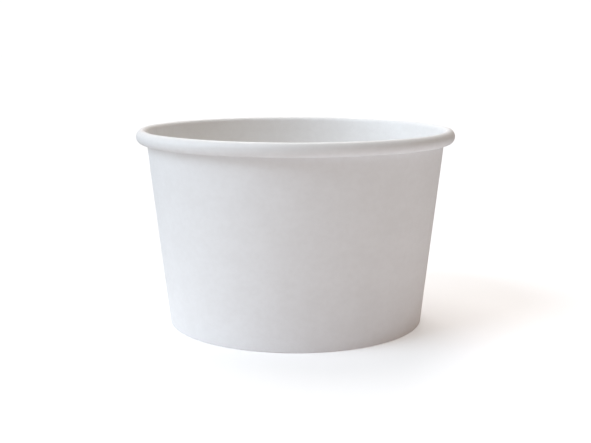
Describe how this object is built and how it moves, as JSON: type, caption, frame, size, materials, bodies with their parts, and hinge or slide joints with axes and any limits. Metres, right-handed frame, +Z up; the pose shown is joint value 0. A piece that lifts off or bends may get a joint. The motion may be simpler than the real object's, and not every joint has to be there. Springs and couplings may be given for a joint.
{
  "type": "paper sundae cup",
  "caption": "Plain white paperboard sundae cup with a rolled rim, tapered side, lapped side seam and a base disc recessed in a folded foot.",
  "frame": {"origin": "centre of the foot ring, on the surface that the cup stands on", "axes": "+Z up the cup's own axis, towards the rim; the side seam lies just behind -X, at 168 to 178 degrees from +X"},
  "size_m": [0.097, 0.097, 0.0597],
  "materials": {
    "wall_board": "matte uncoated white paperboard outside, thin clear coating inside",
    "base_board": "matte white paperboard with a thin clear coating on top"
  },
  "bodies": {
    "root": {"sidewall": "wall_board", "base_disc": "base_board"}
  },
  "joints": []
}
